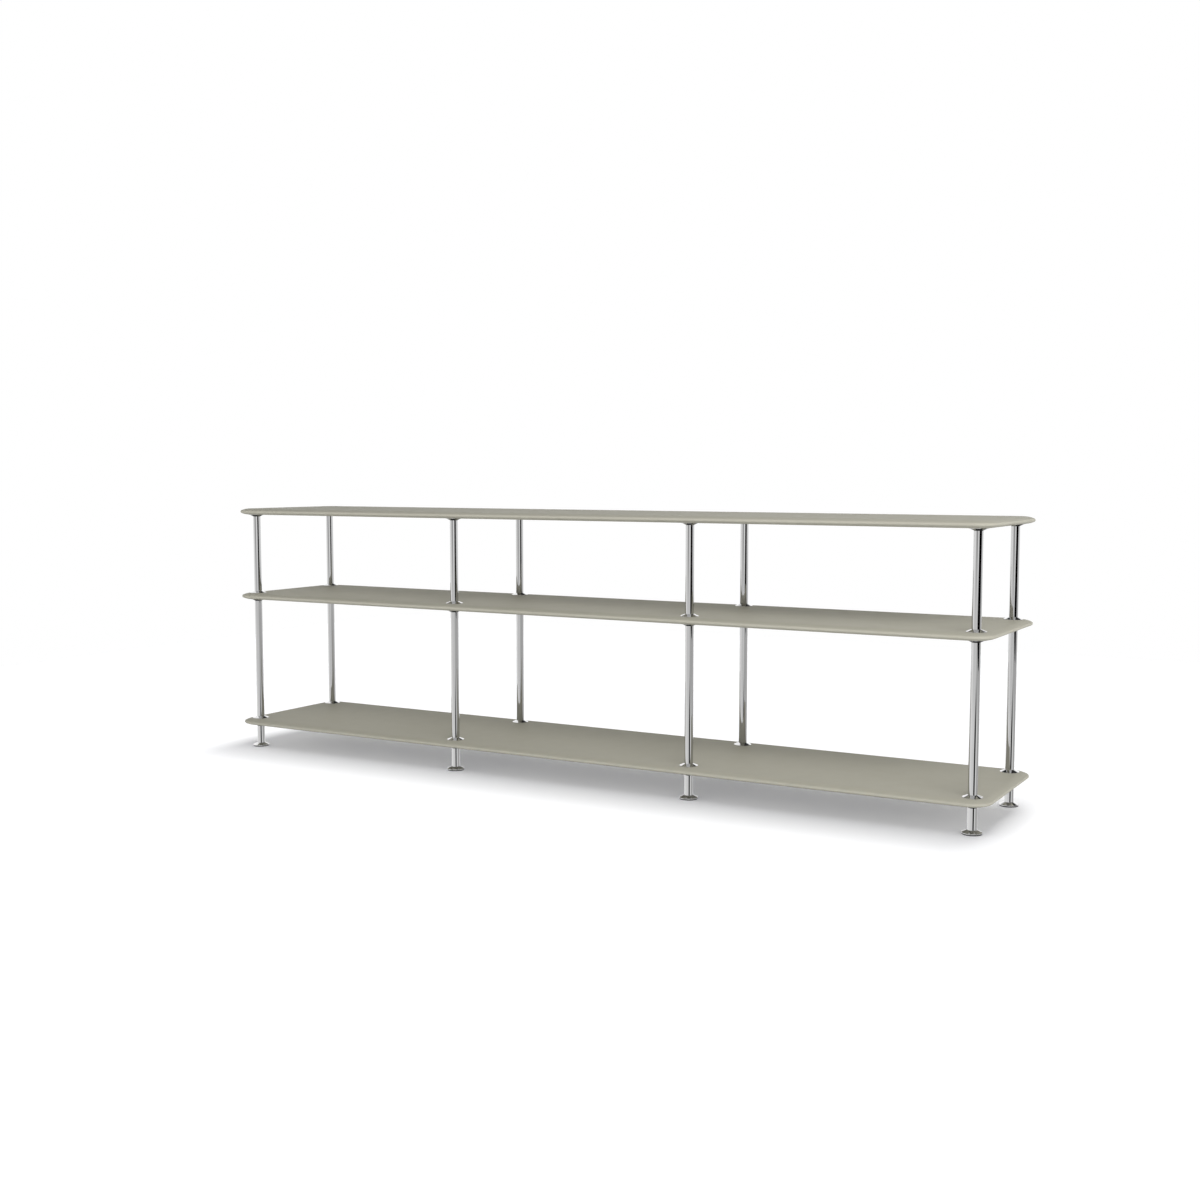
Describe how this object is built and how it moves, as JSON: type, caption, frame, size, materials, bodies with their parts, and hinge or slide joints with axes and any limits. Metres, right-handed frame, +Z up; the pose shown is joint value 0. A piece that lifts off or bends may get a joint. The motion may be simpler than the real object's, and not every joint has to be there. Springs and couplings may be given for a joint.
{
  "type": "shelving unit",
  "caption": "Long low open shelving unit: thin lacquered boards with softly tapered edges on slim chromed columns, with conical collars and screw-down levelling feet.",
  "frame": {"origin": "on the floor, under the middle of the unit", "axes": "+X along the length to the right seen from the front, +Y to the back, +Z up"},
  "size_m": [2.065, 0.393, 0.655],
  "materials": {
    "lacquered_board": "satin lacquer on fibreboard, warm grey",
    "chromed_tube": "polished chrome plate on steel tube",
    "chromed_fitting": "polished chrome plate on turned steel",
    "plain_steel": "zinc-plated threaded rod",
    "brass_insert": "turned brass",
    "foot_glide_plastic": "dark moulded nylon"
  },
  "bodies": {
    "frame": {"top_shelf": "lacquered_board", "middle_shelf": "lacquered_board", "bottom_shelf": "lacquered_board", "upper_post_front_1": "chromed_tube", "upper_post_front_2": "chromed_tube", "upper_post_front_3": "chromed_tube", "upper_post_front_4": "chromed_tube", "upper_post_rear_1": "chromed_tube", "upper_post_rear_2": "chromed_tube", "upper_post_rear_3": "chromed_tube", "upper_post_rear_4": "chromed_tube", "lower_post_front_1": "chromed_tube", "lower_post_front_2": "chromed_tube", "lower_post_front_3": "chromed_tube", "lower_post_front_4": "chromed_tube", "lower_post_rear_1": "chromed_tube", "lower_post_rear_2": "chromed_tube", "lower_post_rear_3": "chromed_tube", "lower_post_rear_4": "chromed_tube", "leg_front_1": "chromed_tube", "leg_front_2": "chromed_tube", "leg_front_3": "chromed_tube", "leg_front_4": "chromed_tube", "leg_rear_1": "chromed_tube", "leg_rear_2": "chromed_tube", "leg_rear_3": "chromed_tube", "leg_rear_4": "chromed_tube", "collars_under_top_shelf": "chromed_fitting", "collars_on_middle_shelf": "chromed_fitting", "collars_under_middle_shelf": "chromed_fitting", "collars_on_bottom_shelf": "chromed_fitting", "collars_under_bottom_shelf": "chromed_fitting", "tie_rods": "plain_steel", "top_shelf_inserts": "brass_insert"},
    "foot_glide_front_1": {"foot_glide_front_1": "foot_glide_plastic"},
    "foot_front_1": {"foot_front_1": "chromed_fitting"},
    "foot_glide_front_2": {"foot_glide_front_2": "foot_glide_plastic"},
    "foot_front_2": {"foot_front_2": "chromed_fitting"},
    "foot_glide_front_3": {"foot_glide_front_3": "foot_glide_plastic"},
    "foot_front_3": {"foot_front_3": "chromed_fitting"},
    "foot_glide_front_4": {"foot_glide_front_4": "foot_glide_plastic"},
    "foot_front_4": {"foot_front_4": "chromed_fitting"},
    "foot_glide_rear_1": {"foot_glide_rear_1": "foot_glide_plastic"},
    "foot_rear_1": {"foot_rear_1": "chromed_fitting"},
    "foot_glide_rear_2": {"foot_glide_rear_2": "foot_glide_plastic"},
    "foot_rear_2": {"foot_rear_2": "chromed_fitting"},
    "foot_glide_rear_3": {"foot_glide_rear_3": "foot_glide_plastic"},
    "foot_rear_3": {"foot_rear_3": "chromed_fitting"},
    "foot_glide_rear_4": {"foot_glide_rear_4": "foot_glide_plastic"},
    "foot_rear_4": {"foot_rear_4": "chromed_fitting"}
  },
  "joints": [
    {"name": "foot_front_1_height", "type": "slide", "parent": "frame", "child": "foot_glide_front_1", "axis": [0, 0, -1], "range_m": [0, 0.009]},
    {"name": "foot_front_1_turn", "type": "hinge", "parent": "foot_glide_front_1", "child": "foot_front_1", "pos_m": [-0.99, -0.15, 0], "axis": [0, 0, -1], "range_deg": [0, 2160]},
    {"name": "foot_front_2_height", "type": "slide", "parent": "frame", "child": "foot_glide_front_2", "axis": [0, 0, -1], "range_m": [0, 0.009]},
    {"name": "foot_front_2_turn", "type": "hinge", "parent": "foot_glide_front_2", "child": "foot_front_2", "pos_m": [-0.33, -0.15, 0], "axis": [0, 0, -1], "range_deg": [0, 2160]},
    {"name": "foot_front_3_height", "type": "slide", "parent": "frame", "child": "foot_glide_front_3", "axis": [0, 0, -1], "range_m": [0, 0.009]},
    {"name": "foot_front_3_turn", "type": "hinge", "parent": "foot_glide_front_3", "child": "foot_front_3", "pos_m": [0.33, -0.15, 0], "axis": [0, 0, -1], "range_deg": [0, 2160]},
    {"name": "foot_front_4_height", "type": "slide", "parent": "frame", "child": "foot_glide_front_4", "axis": [0, 0, -1], "range_m": [0, 0.009]},
    {"name": "foot_front_4_turn", "type": "hinge", "parent": "foot_glide_front_4", "child": "foot_front_4", "pos_m": [0.99, -0.15, 0], "axis": [0, 0, -1], "range_deg": [0, 2160]},
    {"name": "foot_rear_1_height", "type": "slide", "parent": "frame", "child": "foot_glide_rear_1", "axis": [0, 0, -1], "range_m": [0, 0.009]},
    {"name": "foot_rear_1_turn", "type": "hinge", "parent": "foot_glide_rear_1", "child": "foot_rear_1", "pos_m": [-0.99, 0.15, 0], "axis": [0, 0, -1], "range_deg": [0, 2160]},
    {"name": "foot_rear_2_height", "type": "slide", "parent": "frame", "child": "foot_glide_rear_2", "axis": [0, 0, -1], "range_m": [0, 0.009]},
    {"name": "foot_rear_2_turn", "type": "hinge", "parent": "foot_glide_rear_2", "child": "foot_rear_2", "pos_m": [-0.33, 0.15, 0], "axis": [0, 0, -1], "range_deg": [0, 2160]},
    {"name": "foot_rear_3_height", "type": "slide", "parent": "frame", "child": "foot_glide_rear_3", "axis": [0, 0, -1], "range_m": [0, 0.009]},
    {"name": "foot_rear_3_turn", "type": "hinge", "parent": "foot_glide_rear_3", "child": "foot_rear_3", "pos_m": [0.33, 0.15, 0], "axis": [0, 0, -1], "range_deg": [0, 2160]},
    {"name": "foot_rear_4_height", "type": "slide", "parent": "frame", "child": "foot_glide_rear_4", "axis": [0, 0, -1], "range_m": [0, 0.009]},
    {"name": "foot_rear_4_turn", "type": "hinge", "parent": "foot_glide_rear_4", "child": "foot_rear_4", "pos_m": [0.99, 0.15, 0], "axis": [0, 0, -1], "range_deg": [0, 2160]}
  ],
  "couplings": [
    {"joint": "foot_front_1_height", "follows": "foot_front_1_turn", "m_per_rad": 0.00023873},
    {"joint": "foot_front_2_height", "follows": "foot_front_2_turn", "m_per_rad": 0.00023873},
    {"joint": "foot_front_3_height", "follows": "foot_front_3_turn", "m_per_rad": 0.00023873},
    {"joint": "foot_front_4_height", "follows": "foot_front_4_turn", "m_per_rad": 0.00023873},
    {"joint": "foot_rear_1_height", "follows": "foot_rear_1_turn", "m_per_rad": 0.00023873},
    {"joint": "foot_rear_2_height", "follows": "foot_rear_2_turn", "m_per_rad": 0.00023873},
    {"joint": "foot_rear_3_height", "follows": "foot_rear_3_turn", "m_per_rad": 0.00023873},
    {"joint": "foot_rear_4_height", "follows": "foot_rear_4_turn", "m_per_rad": 0.00023873}
  ]
}
